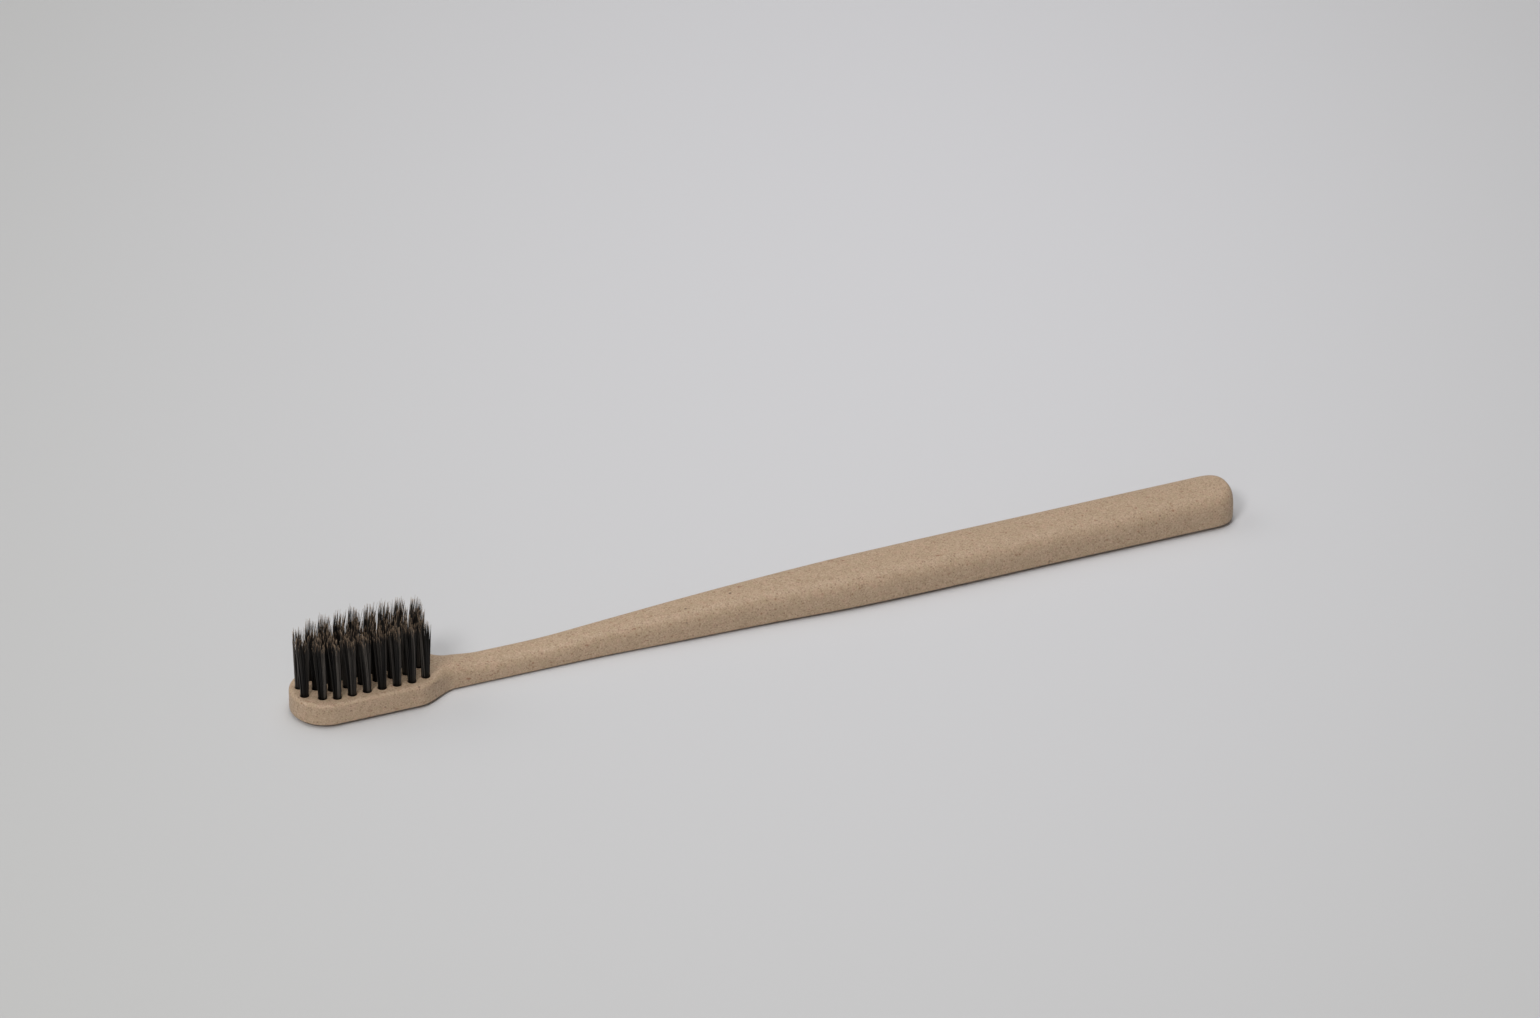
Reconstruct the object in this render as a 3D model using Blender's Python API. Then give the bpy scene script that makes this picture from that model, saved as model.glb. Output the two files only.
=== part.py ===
"""A manual toothbrush: a moulded handle, tufts of bristle and the wire anchors that hold them.

The brush lies on its flat back with the bristles up. X runs from the tip of the head to the
tail, Y runs across and Z is up. The origin is midway along the brush, on its flat back.
Places along the brush are measured from the tip of the head and called u.
"""

import math
import random

import bmesh
import bpy
from mathutils import Vector

# Whole brush, in metres
OVERALL_LENGTH = 0.18
BACK_EDGE_RADIUS = 0.0004
HEAD_LIFT = 0.0005
TAIL_LIFT = 0.0008
SIDE_LAND = 0.0003

# Head
HEAD_THICKNESS = 0.0046
HEAD_RIM_RADIUS = 0.0007
SIDE_MARGIN = 0.0023
TIP_MARGIN = 0.00206
FACE_END_MARGIN = 0.0046
ARCH_LENGTH = 0.0034
SHOULDER_LENGTH = 0.0077
SHOULDER_RUNOUT = 0.0012

# Neck, grip and tail
NECK_WIDTH = 0.0061
NECK_HEIGHT = 0.0038
NECK_DROP_LENGTH = 0.007
GRIP_WIDTH = 0.0111
GRIP_HEIGHT = 0.0067
TAIL_CROWN_REACH = 0.0017

# Tuft pattern: full columns of four, two narrower columns at the tip and one at the neck
TUFT_PITCH = 0.00272
ROW_PITCH = 0.00268
FULL_COLUMNS = 6
FULL_ROWS = 4
TIP_COLUMN_SHARES = ((-1.84, (-0.52, 0.52)), (-0.88, (-1.2, 0.0, 1.2)))
NECK_COLUMN_SHARES = ((1.0, (-1.28, 0.0, 1.28)),)

# Tuft holes
HOLE_DIAMETER = 0.0016
HOLE_DEPTH = 0.0032
HOLE_OVERRUN = 0.001

# Anchors: short flat wires pressed across the bottom of each hole
ANCHOR_THICKNESS = 0.00025
ANCHOR_HEIGHT = 0.0014
ANCHOR_BITE = 0.00028
ANCHOR_LIFT = 0.0005
ANCHOR_CORNER = 0.00025
ANCHOR_CLEARANCE = 0.00005
ANCHOR_TURN = math.radians(35)

# Tufts: each bundle is folded under its anchor and stands out of its hole
TUFT_CLEARANCE = 0.00005
TUFT_GAP = 0.00015
ROOT_RECESS = 0.00015
FOLD_HEIGHT = 0.0003
BRISTLE_LENGTH = 0.0116
BRISTLE_TIP_LENGTH = 0.003
TUFT_UNEVENNESS = 0.00015
STRAND_UNEVENNESS = 0.0006
STRAND_STRAY = 0.00005

# Shapes without a size of their own
BACK_RISE_share = 0.5
FOLD_WIDTH_share = 0.72
STRAND_WIDTH_share = 0.8
TOP_FLAT_share = 0.12
RIM_SQUARENESS = 2.0
NECK_SQUARENESS = 2.7
GRIP_SQUARENESS = 3.3
TAIL_SQUARENESS = 2.5
SEED = 7

# Neck to tail: place along it, width from neck to grip, height from neck to grip
BODY_SHARES = (
    (0.0, 0.0, 0.02),
    (0.055, 0.0, 0.0),
    (0.12, 0.0, 0.02),
    (0.19, 0.04, 0.25),
    (0.30, 0.31, 0.52),
    (0.40, 0.55, 0.69),
    (0.50, 0.91, 0.72),
    (0.57, 1.0, 0.75),
    (0.67, 0.99, 0.82),
    (0.78, 0.92, 0.89),
    (0.88, 0.92, 0.94),
    (1.0, 0.90, 1.0),
)

# How finely round shapes are cut
TIP_STEPS = 9
FACE_STEPS = 3
SHOULDER_STEPS = 12
BODY_STEPS = 34
TAIL_STEPS = 9
RISE_STEPS = 2
EDGE_STEPS = 2
CROWN_STEPS = 7
HOLE_SIDES_PER_HALF = 7
ROOT_SIDES_PER_HALF = 6
LATTICE_RINGS = 2
SMOOTH_ANGLE = math.radians(50)

# Sizes that follow from the ones above
HEAD_HALF_WIDTH = ROW_PITCH * (FULL_ROWS - 1) / 2 + SIDE_MARGIN
FIRST_FULL_COLUMN = TIP_MARGIN - TIP_COLUMN_SHARES[0][0] * TUFT_PITCH
LAST_FULL_COLUMN = FIRST_FULL_COLUMN + (FULL_COLUMNS - 1) * TUFT_PITCH
LAST_COLUMN = LAST_FULL_COLUMN + NECK_COLUMN_SHARES[-1][0] * TUFT_PITCH
FACE_END = LAST_COLUMN + FACE_END_MARGIN
ARCH_START = FACE_END - ARCH_LENGTH
SHOULDER_END = FACE_END + SHOULDER_RUNOUT
SHOULDER_START = SHOULDER_END - SHOULDER_LENGTH
TAIL_WIDTH = NECK_WIDTH + (GRIP_WIDTH - NECK_WIDTH) * BODY_SHARES[-1][1]
TAIL_CENTRE = OVERALL_LENGTH - TAIL_WIDTH / 2
HOLE_FLOOR = HEAD_THICKNESS - HOLE_DEPTH
ANCHOR_LENGTH = HOLE_DIAMETER + 2 * ANCHOR_BITE
ANCHOR_BOTTOM = HOLE_FLOOR + ANCHOR_LIFT
ANCHOR_TOP = ANCHOR_BOTTOM + ANCHOR_HEIGHT
SLOT_HALF_WIDTH = ANCHOR_THICKNESS / 2 + ANCHOR_CLEARANCE
SLOT_BOTTOM = ANCHOR_BOTTOM - ANCHOR_CLEARANCE
SLOT_TOP = ANCHOR_TOP + ANCHOR_CLEARANCE
ROOT_RADIUS = HOLE_DIAMETER / 2 - TUFT_CLEARANCE
ROOT_BOTTOM = HOLE_FLOOR + TUFT_CLEARANCE
ROOT_TOP = HEAD_THICKNESS - ROOT_RECESS


def clear_scene():
    """Removes whatever the scene starts with."""
    for leftover in list(bpy.data.objects):
        bpy.data.objects.remove(leftover, do_unlink=True)


def make_material(name, colour, roughness, metallic=0.0):
    """A plain surface of one colour."""
    material = bpy.data.materials.new(name)
    material.use_nodes = True
    shader = material.node_tree.nodes["Principled BSDF"]
    shader.inputs["Base Color"].default_value = (*colour, 1.0)
    shader.inputs["Roughness"].default_value = roughness
    shader.inputs["Metallic"].default_value = metallic
    material.diffuse_color = (*colour, 1.0)
    return material


def make_object(name, shape, material=None):
    """Turns a finished bmesh into a smooth-shaded object with its normals pointing out."""
    bmesh.ops.recalc_face_normals(shape, faces=shape.faces)
    mesh = bpy.data.meshes.new(name)
    shape.to_mesh(mesh)
    shape.free()
    mesh.shade_smooth()
    mesh.set_sharp_from_angle(angle=SMOOTH_ANGLE)
    made = bpy.data.objects.new(name, mesh)
    bpy.context.scene.collection.objects.link(made)
    if material:
        mesh.materials.append(material)
    return made


def mix(start, end, share):
    """The value a share of the way from start to end."""
    return start + (end - start) * share


def ease(share):
    """A share from 0 to 1 that leaves and arrives level."""
    held = min(max(share, 0.0), 1.0)
    return held * held * (3.0 - 2.0 * held)


def body_share(place_share, column):
    """Reads one column of BODY_SHARES as a smooth curve through its points."""
    rows = BODY_SHARES
    held = min(max(place_share, rows[0][0]), rows[-1][0])
    index = 0
    while index < len(rows) - 2 and held > rows[index + 1][0]:
        index += 1
    left, right = rows[index], rows[index + 1]
    before, after = rows[max(index - 1, 0)], rows[min(index + 2, len(rows) - 1)]
    step = right[0] - left[0]
    leave = (right[column] - before[column]) / (right[0] - before[0]) * step
    arrive = (after[column] - left[column]) / (after[0] - left[0]) * step
    t = (held - left[0]) / step
    rise = 3 * t**2 - 2 * t**3
    return (
        mix(left[column], right[column], rise)
        + (t**3 - 2 * t**2 + t) * leave
        + (t**3 - t**2) * arrive
    )


def body_place(u):
    """How far u lies along the stretch from the shoulder's end to the tail's centre."""
    return (u - SHOULDER_END) / (TAIL_CENTRE - SHOULDER_END)


def half_width(u):
    """Half the handle's width, from the head's straight sides to the tail."""
    if u <= SHOULDER_END:
        share = ease((u - SHOULDER_START) / SHOULDER_LENGTH)
        return mix(HEAD_HALF_WIDTH, NECK_WIDTH / 2, share)
    return mix(NECK_WIDTH, GRIP_WIDTH, body_share(body_place(u), 1)) / 2


def height(u):
    """Height of the top above the flat back: level over the head, then down to the neck."""
    body = mix(NECK_HEIGHT, GRIP_HEIGHT, body_share(body_place(u), 2))
    start = mix(NECK_HEIGHT, GRIP_HEIGHT, BODY_SHARES[0][2])
    fall = ease((u - FACE_END) / NECK_DROP_LENGTH)
    return body + (HEAD_THICKNESS - start) * (1.0 - fall)


def lower_edge(u):
    """The lower side of the cross-section at u: the back's slow rise, then its round edge.

    The back is flat in the middle and rises a little towards its edges, in step with the
    width there and more so towards the tail. The brush stands on its middle and leaves a
    fine gap at the table.
    """
    half = half_width(u)
    lift = mix(HEAD_LIFT, TAIL_LIFT, u / OVERALL_LENGTH) * half / HEAD_HALF_WIDTH
    rise_end = half * BACK_RISE_share
    slope = math.atan(2 * lift / (rise_end - BACK_EDGE_RADIUS / 2))
    edge_middle = lift + BACK_EDGE_RADIUS * math.cos(slope)
    rise_start = BACK_EDGE_RADIUS * (1.0 - math.sin(slope))
    points = []
    for step in range(RISE_STEPS):
        share = step / RISE_STEPS
        points.append((mix(rise_end, rise_start, share), lift * share**2))
    for step in range(EDGE_STEPS + 1):
        turn = mix(slope, math.pi / 2, step / EDGE_STEPS)
        inset = BACK_EDGE_RADIUS * (1.0 - math.sin(turn))
        points.append((inset, edge_middle - BACK_EDGE_RADIUS * math.cos(turn)))
    return points


def section(u, end_share):
    """One side of the handle's cross-section at u, as (inset from the side, height) points.

    It starts on the flat back, rounds the lower edge, climbs a short upright land and ends
    near the middle of the top. On the head the upper round is the small rim. Along the arch
    where the bristle face ends, it grows into the full crown of the neck. Round the tail
    end_share grows to 1, and the crown turns down more tightly there.
    """
    half, top = half_width(u), height(u)
    points = lower_edge(u)
    crown = ease((u - ARCH_START) / (SHOULDER_END - ARCH_START))
    squareness = mix(NECK_SQUARENESS, GRIP_SQUARENESS, ease(2 * body_place(u)))
    full_reach = mix(half * (1.0 - TOP_FLAT_share), TAIL_CROWN_REACH, end_share)
    reach = mix(HEAD_RIM_RADIUS, full_reach, crown)
    drop = mix(HEAD_RIM_RADIUS, top - points[-1][1] - SIDE_LAND, crown)
    power = 2.0 / mix(RIM_SQUARENESS, squareness, crown)
    for step in range(CROWN_STEPS + 1):
        turn = math.pi / 2 * step / CROWN_STEPS
        inset = reach * (1.0 - abs(math.cos(turn)) ** power)
        points.append((inset, top - drop + drop * math.sin(turn) ** power))
    return points


def plan():
    """The +Y half of the outline from tip to tail.

    Each entry is (place, inward direction, section's u, section's end_share).
    """
    places = []
    for step in range(TIP_STEPS):
        turn = math.pi / 2 * step / TIP_STEPS
        inward = Vector((math.cos(turn), -math.sin(turn)))
        place = Vector((HEAD_HALF_WIDTH, 0.0)) - inward * HEAD_HALF_WIDTH
        places.append((place, inward, HEAD_HALF_WIDTH, 0.0))
    stops = (
        (HEAD_HALF_WIDTH, SHOULDER_START, FACE_STEPS),
        (SHOULDER_START, SHOULDER_END, SHOULDER_STEPS),
        (SHOULDER_END, TAIL_CENTRE, BODY_STEPS),
    )
    for start, end, steps in stops:
        for step in range(steps):
            u = mix(start, end, step / steps)
            places.append((Vector((u, half_width(u))), Vector((0.0, -1.0)), u, 0.0))
    for step in range(TAIL_STEPS + 1):
        turn = math.pi / 2 * (1.0 - step / TAIL_STEPS)
        power = 2.0 / TAIL_SQUARENESS
        along = abs(math.cos(turn)) ** power if step else 0.0
        across = math.sin(turn) ** power if step < TAIL_STEPS else 0.0
        out = Vector((along, across)) * TAIL_WIDTH / 2
        place = Vector((TAIL_CENTRE, 0.0)) + out
        places.append((place, -out.normalized(), TAIL_CENTRE, math.cos(turn) ** 2))
    return places


def handle_shape():
    """The solid handle, as loops round its plan that step up its cross-section."""
    shape = bmesh.new()
    outline = plan()
    last = len(outline) - 1
    loops = []
    for level in range(len(section(0.0, 0.0))):
        right, left = [], []
        for index, (place, inward, u, end_share) in enumerate(outline):
            inset, rise = section(u, end_share)[level]
            spot = place + inward * inset
            x = spot.x - OVERALL_LENGTH / 2
            right.append(shape.verts.new((x, spot.y, rise)))
            on_middle = index in (0, last)
            left.append(right[-1] if on_middle else shape.verts.new((x, -spot.y, rise)))
        loops.append((right, left))
    for lower, upper in zip(loops, loops[1:]):
        for low, high, side in zip(lower, upper, (1, -1)):
            for index in range(last):
                corners = (low[index + 1], low[index], high[index], high[index + 1])
                shape.faces.new(corners[::side])
    for right, left in (loops[0], loops[-1]):
        for index in range(last):
            corners = [right[index], right[index + 1], left[index + 1], left[index]]
            shape.faces.new(list(dict.fromkeys(corners)))
    return shape


def tuft_centres():
    """Where the tufts stand, from tip to neck, as places in plan."""
    centres = []
    rows = [row - (FULL_ROWS - 1) / 2 for row in range(FULL_ROWS)]
    columns = [(FIRST_FULL_COLUMN, *entry) for entry in TIP_COLUMN_SHARES]
    columns += [(FIRST_FULL_COLUMN, column, rows) for column in range(FULL_COLUMNS)]
    columns += [(LAST_FULL_COLUMN, *entry) for entry in NECK_COLUMN_SHARES]
    for start, along_share, across_shares in columns:
        u = start + along_share * TUFT_PITCH
        for across_share in across_shares:
            x = u - OVERALL_LENGTH / 2
            centres.append(Vector((x, across_share * ROW_PITCH)))
    return centres


def turned(centre, x, y, z):
    """A point given in the anchor's own directions, x along the anchor, at one tuft."""
    cos, sin = math.cos(ANCHOR_TURN), math.sin(ANCHOR_TURN)
    return (centre.x + x * cos - y * sin, centre.y + x * sin + y * cos, z)


def rim_angles(radius, per_half):
    """Angles round a hole, with a pair at each end of the anchor's slot."""
    edge = math.asin(SLOT_HALF_WIDTH / radius)
    half = [mix(edge, math.pi - edge, step / (per_half - 1)) for step in range(per_half)]
    return half + [angle + math.pi for angle in half]


def add_plug(shape, centre, radius, per_half, levels, ear_reach=None):
    """Adds a round plug with its lid left open, and returns the vertices of its top.

    levels are (height, radius share) pairs: the foot, the slot's bottom and top, and the
    lid, with any level of the rounded fold between the first two. The stretch between slot
    bottom and top is open right through, or has an ear at each end where ear_reach is given.
    """
    angles = rim_angles(radius, per_half)
    count = len(angles)
    rings = []
    for level, share in levels:
        spots = [(radius * share * math.cos(a), radius * share * math.sin(a)) for a in angles]
        rings.append([shape.verts.new(turned(centre, x, y, level)) for x, y in spots])
    slot_band = len(levels) - 3
    mouths = (per_half - 1, count - 1)
    for band, (low, high) in enumerate(zip(rings, rings[1:])):
        for index in range(count):
            after = (index + 1) % count
            if band == slot_band and index in mouths:
                continue
            shape.faces.new((low[index], low[after], high[after], high[index]))
    shape.faces.new(rings[0][::-1])
    low, high = rings[slot_band], rings[slot_band + 1]
    if ear_reach is None:
        ends = (0, per_half - 1, per_half, count - 1)
        shape.faces.new([low[index] for index in ends])
        shape.faces.new([high[index] for index in reversed(ends)])
        for first, second in ((per_half - 1, 0), (count - 1, per_half)):
            shape.faces.new((low[first], low[second], high[second], high[first]))
        return rings[-1]
    for index, side in zip(mouths, (-1, 1)):
        after = (index + 1) % count
        inner = [low[index], low[after], high[after], high[index]]
        y_first = -side * SLOT_HALF_WIDTH
        corners = (
            (y_first, levels[slot_band][0]),
            (-y_first, levels[slot_band][0]),
            (-y_first, levels[slot_band + 1][0]),
            (y_first, levels[slot_band + 1][0]),
        )
        outer = [shape.verts.new(turned(centre, side * ear_reach, y, z)) for y, z in corners]
        for spot in range(len(inner)):
            ahead = (spot + 1) % len(inner)
            shape.faces.new((inner[spot], inner[ahead], outer[ahead], outer[spot]))
        shape.faces.new(outer)
    return rings[-1]


def hole_cutter(centres):
    """Every tuft hole with its anchor's slot, as one hidden cutter."""
    shape = bmesh.new()
    levels = (
        (HOLE_FLOOR, 1.0),
        (SLOT_BOTTOM, 1.0),
        (SLOT_TOP, 1.0),
        (HEAD_THICKNESS + HOLE_OVERRUN, 1.0),
    )
    reach = ANCHOR_LENGTH / 2 + ANCHOR_CLEARANCE
    for centre in centres:
        lid = add_plug(
            shape, centre, HOLE_DIAMETER / 2, HOLE_SIDES_PER_HALF, levels, reach
        )
        shape.faces.new(lid)
    cutter = make_object("hole_cutter", shape)
    cutter.hide_render = True
    cutter.display_type = "WIRE"
    return cutter


def make_handle(cutter, material):
    """The moulded head, neck and grip in one piece, with the tuft holes cut into its face."""
    handle = make_object("handle", handle_shape(), material)
    cut = handle.modifiers.new("tuft_holes", "BOOLEAN")
    cut.operation = "DIFFERENCE"
    cut.solver = "EXACT"
    cut.object = cutter
    return handle


def make_anchor(name, centre, material):
    """A flat wire staple, its lower corners cut off so that it drives in straight."""
    shape = bmesh.new()
    end = ANCHOR_LENGTH / 2
    outline = (
        (-end + ANCHOR_CORNER, ANCHOR_BOTTOM),
        (end - ANCHOR_CORNER, ANCHOR_BOTTOM),
        (end, ANCHOR_BOTTOM + ANCHOR_CORNER),
        (end, ANCHOR_TOP),
        (-end, ANCHOR_TOP),
        (-end, ANCHOR_BOTTOM + ANCHOR_CORNER),
    )
    sides = []
    for y in (-ANCHOR_THICKNESS / 2, ANCHOR_THICKNESS / 2):
        sides.append([shape.verts.new(turned(centre, x, y, z)) for x, z in outline])
    front, back = sides
    shape.faces.new(front)
    shape.faces.new(back[::-1])
    for index in range(len(outline)):
        after = (index + 1) % len(outline)
        shape.faces.new((front[after], front[index], back[index], back[after]))
    return make_object(name, shape, material)


def lattice_ring(ring):
    """Places of one ring of a triangular lattice, in order round it."""
    if ring == 0:
        return [(0, 0)]
    corners = ((1, 0), (0, 1), (-1, 1), (-1, 0), (0, -1), (1, -1))
    places = []
    for index, (i, j) in enumerate(corners):
        next_i, next_j = corners[(index + 1) % len(corners)]
        for step in range(ring):
            places.append(
                (i * (ring - step) + next_i * step, j * (ring - step) + next_j * step)
            )
    return places


def lattice(shape, centre, lid):
    """Fills a plug's lid with a triangular lattice of vertices, keyed by lattice place."""
    vertices = dict(zip(lattice_ring(LATTICE_RINGS), lid))
    middle = Vector((centre.x, centre.y, lid[0].co.z))
    for ring in range(LATTICE_RINGS):
        ring_places = lattice_ring(ring)
        for index, place in enumerate(ring_places):
            along = index * len(lid) // len(ring_places)
            spot = middle.lerp(lid[along].co, ring / LATTICE_RINGS)
            vertices[place] = shape.verts.new(spot)
    return vertices


def triangles(vertices, flip):
    """The lattice's triangles that point one way, or with flip the ones between them."""
    found = []
    for i, j in sorted(vertices):
        places = ((i, j), (i + 1, j), (i, j + 1))
        if flip:
            places = ((i, j), (i, j + 1), (i - 1, j + 1))
        if all(place in vertices for place in places):
            found.append([vertices[place] for place in places])
    return found


def add_strand(shape, base, centre, spread, length, tip_start, chance):
    """One bristle clump: a three-sided shaft on its base triangle, tapering to a point."""
    foot = sum((vertex.co for vertex in base), Vector()) / len(base)
    out = Vector((foot.x - centre.x, foot.y - centre.y, 0.0))
    stray = Vector((chance.uniform(-1, 1), chance.uniform(-1, 1), 0.0)) * STRAND_STRAY
    lean = tip_start / length
    shift = out * (spread - 1.0) + stray
    rise = Vector((0.0, 0.0, HEAD_THICKNESS - foot.z))
    waist = foot + shift * lean + rise + Vector((0.0, 0.0, tip_start))
    ring = [
        shape.verts.new(waist + (vertex.co - foot) * STRAND_WIDTH_share) for vertex in base
    ]
    tip = shape.verts.new(foot + shift + rise + Vector((0.0, 0.0, length)))
    for index in range(len(base)):
        after = (index + 1) % len(base)
        shape.faces.new((base[index], base[after], ring[after], ring[index]))
        shape.faces.new((ring[index], ring[after], tip))


def make_tuft(name, centre, spread_radius, holds_anchor, material, chance):
    """A tuft: the folded root that fills its hole, and the strands that flare out of it.

    A tuft that holds its own anchor has the anchor's two ends as ears on its root.
    """
    shape = bmesh.new()
    levels = (
        (ROOT_BOTTOM, FOLD_WIDTH_share),
        (ROOT_BOTTOM + FOLD_HEIGHT, 1.0),
        (SLOT_BOTTOM, 1.0),
        (SLOT_TOP, 1.0),
        (ROOT_TOP, 1.0),
    )
    ear_reach = ANCHOR_LENGTH / 2 if holds_anchor else None
    lid = add_plug(shape, centre, ROOT_RADIUS, ROOT_SIDES_PER_HALF, levels, ear_reach)
    vertices = lattice(shape, centre, lid)
    for corners in triangles(vertices, flip=True):
        shape.faces.new(corners)
    bases = triangles(vertices, flip=False)
    feet = [sum((vertex.co for vertex in base), Vector()) / len(base) for base in bases]
    outermost = max((foot.xy - centre).length for foot in feet)
    spread = (spread_radius - STRAND_STRAY) / outermost
    trim = BRISTLE_LENGTH + chance.uniform(-1, 1) * TUFT_UNEVENNESS
    for base in bases:
        length = trim + chance.uniform(-1, 1) * STRAND_UNEVENNESS
        tip_start = length - BRISTLE_TIP_LENGTH
        add_strand(shape, base, centre, spread, length, tip_start, chance)
    return make_object(name, shape, material)


def main():
    """Builds the handle, then every tuft with its anchor."""
    clear_scene()
    straw = make_material("straw_plastic", (0.40, 0.31, 0.225), 0.6)
    bristle = make_material("charcoal_bristle", (0.035, 0.033, 0.032), 0.5)
    wire = make_material("anchor_wire", (0.72, 0.55, 0.26), 0.3, 1.0)
    centres = tuft_centres()
    make_handle(hole_cutter(centres), straw)
    gaps = [
        (one - other).length
        for index, one in enumerate(centres)
        for other in centres[index + 1 :]
    ]
    spread_radius = (min(gaps) - TUFT_GAP) / 2
    tip_tufts = sum(len(across) for _, across in TIP_COLUMN_SHARES)
    chance = random.Random(SEED)
    for index, centre in enumerate(centres):
        label = f"{index + 1:02d}"
        holds_anchor = index < tip_tufts
        make_tuft(f"tuft_{label}", centre, spread_radius, holds_anchor, bristle, chance)
        if not holds_anchor:
            make_anchor(f"anchor_{label}", centre, wire)
    print("tufts", len(centres), "spread", round(spread_radius, 6), "face end", round(FACE_END, 5))


main()
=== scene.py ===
# %% [markdown]
# A toothbrush, dressed for the camera
#
# The brush is a single moulding of plastic filled with ground straw, with 32 tufts of dark
# bristle pressed into its head by short wire anchors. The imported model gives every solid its
# place and size. This lesson gives each of them the surface and the fine shape that the eye
# looks for: a speckled matt skin, rounded rims, and bristles that taper to soft pale tips.
#
# The first cell loads the model and keeps the size of its box. Nothing made below may grow
# out of that box.

# %% Load the model
import math
import random

import bmesh
import bpy
import numpy as np
from mathutils import Matrix, Vector


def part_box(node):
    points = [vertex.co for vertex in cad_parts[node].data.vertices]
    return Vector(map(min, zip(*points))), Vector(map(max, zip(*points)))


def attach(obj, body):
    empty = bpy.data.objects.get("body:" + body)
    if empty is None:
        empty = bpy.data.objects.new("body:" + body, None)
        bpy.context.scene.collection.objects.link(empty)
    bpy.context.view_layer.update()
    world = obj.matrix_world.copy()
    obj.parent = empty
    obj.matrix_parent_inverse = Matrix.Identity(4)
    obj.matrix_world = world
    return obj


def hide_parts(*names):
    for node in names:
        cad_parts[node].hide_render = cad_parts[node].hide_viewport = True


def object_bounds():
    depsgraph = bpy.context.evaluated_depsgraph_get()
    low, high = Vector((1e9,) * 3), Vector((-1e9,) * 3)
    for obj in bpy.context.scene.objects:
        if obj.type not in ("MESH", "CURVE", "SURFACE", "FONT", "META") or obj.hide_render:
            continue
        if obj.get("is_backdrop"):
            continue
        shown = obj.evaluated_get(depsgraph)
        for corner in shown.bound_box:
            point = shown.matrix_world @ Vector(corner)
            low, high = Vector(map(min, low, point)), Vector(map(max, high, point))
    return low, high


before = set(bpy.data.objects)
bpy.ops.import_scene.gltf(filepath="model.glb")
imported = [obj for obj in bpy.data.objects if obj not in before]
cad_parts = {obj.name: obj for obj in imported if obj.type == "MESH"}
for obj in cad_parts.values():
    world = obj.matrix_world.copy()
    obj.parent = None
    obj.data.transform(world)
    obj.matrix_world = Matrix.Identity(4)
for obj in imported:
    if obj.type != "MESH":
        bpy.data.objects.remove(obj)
model_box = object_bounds()
MM = 0.001
print("solids", len(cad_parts))
print("box", [round(v / MM, 2) for corner in model_box for v in corner])

# %% [markdown]
# Shader nodes are easier to read when each one is a single line. These helpers add a node,
# set its sockets and join a value or another node's output to them. Every pattern below is
# worked out in millimetres on the object itself, so that a fleck stays where it is however
# the brush is turned.


# %% Helpers for shader nodes
class Shader:
    """A material's node tree, with short calls for the nodes used here."""

    def __init__(self, name):
        self.material = bpy.data.materials.new(name)
        self.material.use_nodes = True
        self.tree = self.material.node_tree
        self.surface = self.tree.nodes["Principled BSDF"]

    def feed(self, socket, value):
        """Sets a socket to a number or colour, or joins it to another node's output."""
        if isinstance(value, bpy.types.NodeSocket):
            self.tree.links.new(value, socket)
        elif isinstance(value, tuple) and len(value) == 3 and socket.type == "RGBA":
            socket.default_value = (*value, 1.0)
        else:
            socket.default_value = value

    def dress(self, name, value):
        """Feeds a socket of the surface itself."""
        self.feed(self.surface.inputs[name], value)

    def add(self, kind, inputs=None, **settings):
        """Adds a node of one kind, with its settings and inputs."""
        node = self.tree.nodes.new(kind)
        for name, value in settings.items():
            setattr(node, name, value)
        for name, value in (inputs or {}).items():
            self.feed(node.inputs[name], value)
        return node

    def calc(self, operation, first, second, third=None):
        """One step of arithmetic."""
        inputs = {0: first, 1: second}
        if third is not None:
            inputs[2] = third
        return self.add("ShaderNodeMath", inputs, operation=operation).outputs[0]

    def vector(self, operation, inputs):
        """The node of one step of arithmetic on vectors."""
        return self.add("ShaderNodeVectorMath", inputs, operation=operation)

    def blend(self, share, first, second):
        """Mixes two colours."""
        node = self.add("ShaderNodeMix", {0: share, 6: first, 7: second}, data_type="RGBA")
        return node.outputs[2]

    def between(self, value, low, high, out_low=0.0, out_high=1.0):
        """Maps a value smoothly from one range to another."""
        inputs = {0: value, 1: low, 2: high, 3: out_low, 4: out_high}
        return self.add("ShaderNodeMapRange", inputs, interpolation_type="SMOOTHSTEP").outputs[0]

    def place(self, turn, scale):
        """The place on the object, turned and then scaled."""
        spot = self.add("ShaderNodeTexCoord").outputs["Object"]
        spot = self.add("ShaderNodeMapping", {"Vector": spot, "Rotation": turn}).outputs[0]
        return self.add("ShaderNodeMapping", {"Vector": spot, "Scale": scale}).outputs[0]

    def millimetres(self, turn=(0.0, 0.0, 0.0), stretch=(1.0, 1.0, 1.0)):
        """The place on the object in millimetres, turned and then stretched."""
        return self.place(turn, tuple(1.0 / MM / s for s in stretch))

    def noise(self, place, size, detail=2.0, rough=0.5):
        """Soft random shade, from 0 to 1, whose blotches are about size millimetres across."""
        inputs = {"Vector": place, "Scale": 1.0 / size, "Detail": detail, "Roughness": rough}
        return self.add("ShaderNodeTexNoise", inputs).outputs[0]


# %% [markdown]
# The handle's shape
#
# A moulded handle has no straight line in it: its width and height swell and shrink along
# the brush, and its cross-section passes from the flat bristle face to a rounded neck and
# then to a fuller grip. A box with bevels can't do that, and a sculpt wouldn't sit over the
# solid exactly. So the same few stations that the solid was drawn from are read as smooth
# curves here, three to four times as finely. Each loop of the mesh follows the outline at
# one height of the cross-section.

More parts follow.
